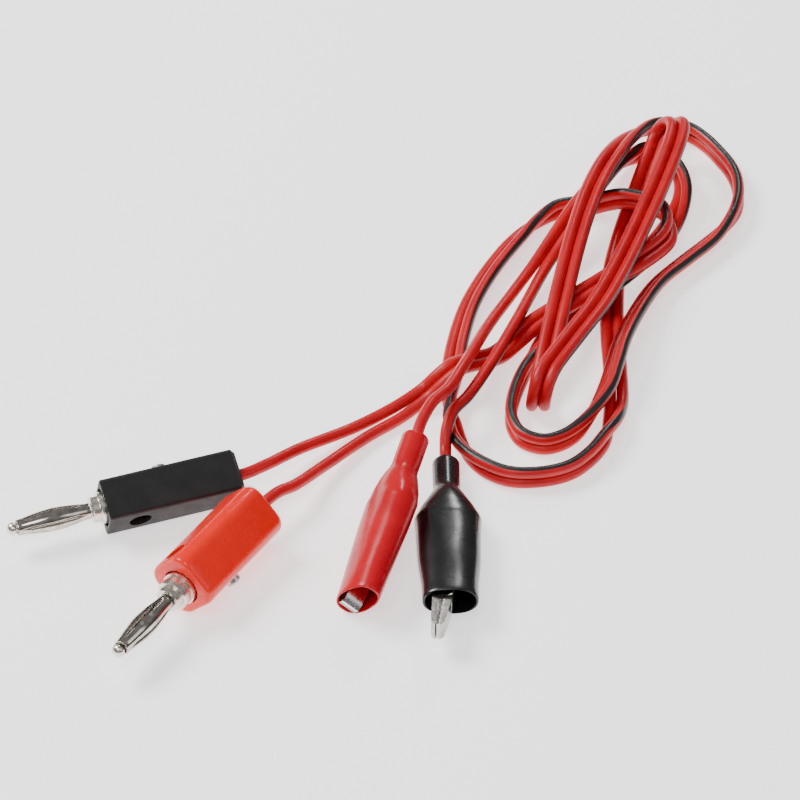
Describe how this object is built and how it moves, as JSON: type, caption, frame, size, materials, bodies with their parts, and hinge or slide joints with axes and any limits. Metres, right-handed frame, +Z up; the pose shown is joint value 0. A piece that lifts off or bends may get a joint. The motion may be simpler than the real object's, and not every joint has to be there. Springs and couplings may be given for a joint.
{
  "type": "test lead",
  "caption": "Test lead: flat twin cord split at each end, with stackable banana plugs on one end and booted alligator clips on the other.",
  "frame": {"origin": "on the surface the leads lie on, under the middle of the plugs and clips", "axes": "+X from the plugs towards the clips and the coiled cord, +Y from the front towards the coil, +Z up"},
  "size_m": [0.1492, 0.1644, 0.0142],
  "materials": {
    "black_shell": "satin moulded",
    "red_shell": "smooth moulded",
    "plug_nickel": "nickel plated, bright",
    "clip_nickel": "nickel plated, pressed",
    "steel": "zinc plated",
    "copper": "tinned copper strands, drawn as one",
    "black_vinyl": "soft glossy vinyl",
    "red_vinyl": "soft glossy vinyl",
    "cord_red": "satin vinyl, one core with a black stripe on its outer edge"
  },
  "bodies": {
    "leads": {"black_plug_shell": "black_shell", "black_plug_contact_body": "plug_nickel", "black_plug_conductor": "copper", "black_clip_fixed_jaw": "clip_nickel", "black_clip_pivot_pin": "clip_nickel", "black_clip_torsion_spring": "steel", "black_clip_conductor": "copper", "red_plug_shell": "red_shell", "red_plug_contact_body": "plug_nickel", "red_plug_conductor": "copper", "red_clip_fixed_jaw": "clip_nickel", "red_clip_pivot_pin": "clip_nickel", "red_clip_torsion_spring": "steel", "red_clip_conductor": "copper", "striped_core": "cord_red", "plain_core": "cord_red"},
    "black_spring_cage": {"black_plug_spring_cage": "plug_nickel"},
    "black_set_screw": {"black_plug_set_screw": "steel"},
    "black_jaw": {"black_clip_moving_jaw": "clip_nickel"},
    "black_boot": {"black_clip_boot": "black_vinyl"},
    "red_spring_cage": {"red_plug_spring_cage": "plug_nickel"},
    "red_set_screw": {"red_plug_set_screw": "steel"},
    "red_jaw": {"red_clip_moving_jaw": "clip_nickel"},
    "red_boot": {"red_clip_boot": "red_vinyl"}
  },
  "joints": [
    {"name": "black_jaw_open", "type": "hinge", "parent": "leads", "child": "black_jaw", "pos_m": [0.03872, -0.01083, 0.00543], "axis": [-0.0009, 0.061, 0.9981], "range_deg": [0, 20], "stiffness_Nm_per_rad": 0.05, "springref_deg": -22.92, "deforming": ["black_clip_torsion_spring"]},
    {"name": "black_cage_spin", "type": "hinge", "parent": "leads", "child": "black_spring_cage", "pos_m": [-0.03703, 0.00998, 0.00555], "axis": [-0.9432, -0.3322, 0], "continuous": true},
    {"name": "black_screw_turn", "type": "hinge", "parent": "leads", "child": "black_set_screw", "pos_m": [-0.01682, 0.02124, 0.00746], "axis": [-0.2985, 0.8478, 0.4384], "range_deg": [0, 720]},
    {"name": "black_boot_slide", "type": "slide", "parent": "leads", "child": "black_boot", "axis": [-0.0139, 0.998, -0.061], "range_m": [0, 0.003]},
    {"name": "red_jaw_open", "type": "hinge", "parent": "leads", "child": "red_jaw", "pos_m": [0.02422, -0.00185, 0.00546], "axis": [-0.7622, 0.1206, 0.6361], "range_deg": [0, 20], "stiffness_Nm_per_rad": 0.05, "springref_deg": -22.92, "deforming": ["red_clip_torsion_spring"]},
    {"name": "red_cage_spin", "type": "hinge", "parent": "leads", "child": "red_spring_cage", "pos_m": [-0.01815, -0.02029, 0.0068], "axis": [-0.5446, -0.8387, 0], "continuous": true},
    {"name": "red_screw_turn", "type": "hinge", "parent": "leads", "child": "red_set_screw", "pos_m": [-0.00229, -0.0034, 0.00298], "axis": [0.6134, -0.3983, -0.682], "range_deg": [0, 720]},
    {"name": "red_boot_slide", "type": "slide", "parent": "leads", "child": "red_boot", "axis": [0.2711, 0.9517, 0.1444], "range_m": [0, 0.003]}
  ]
}
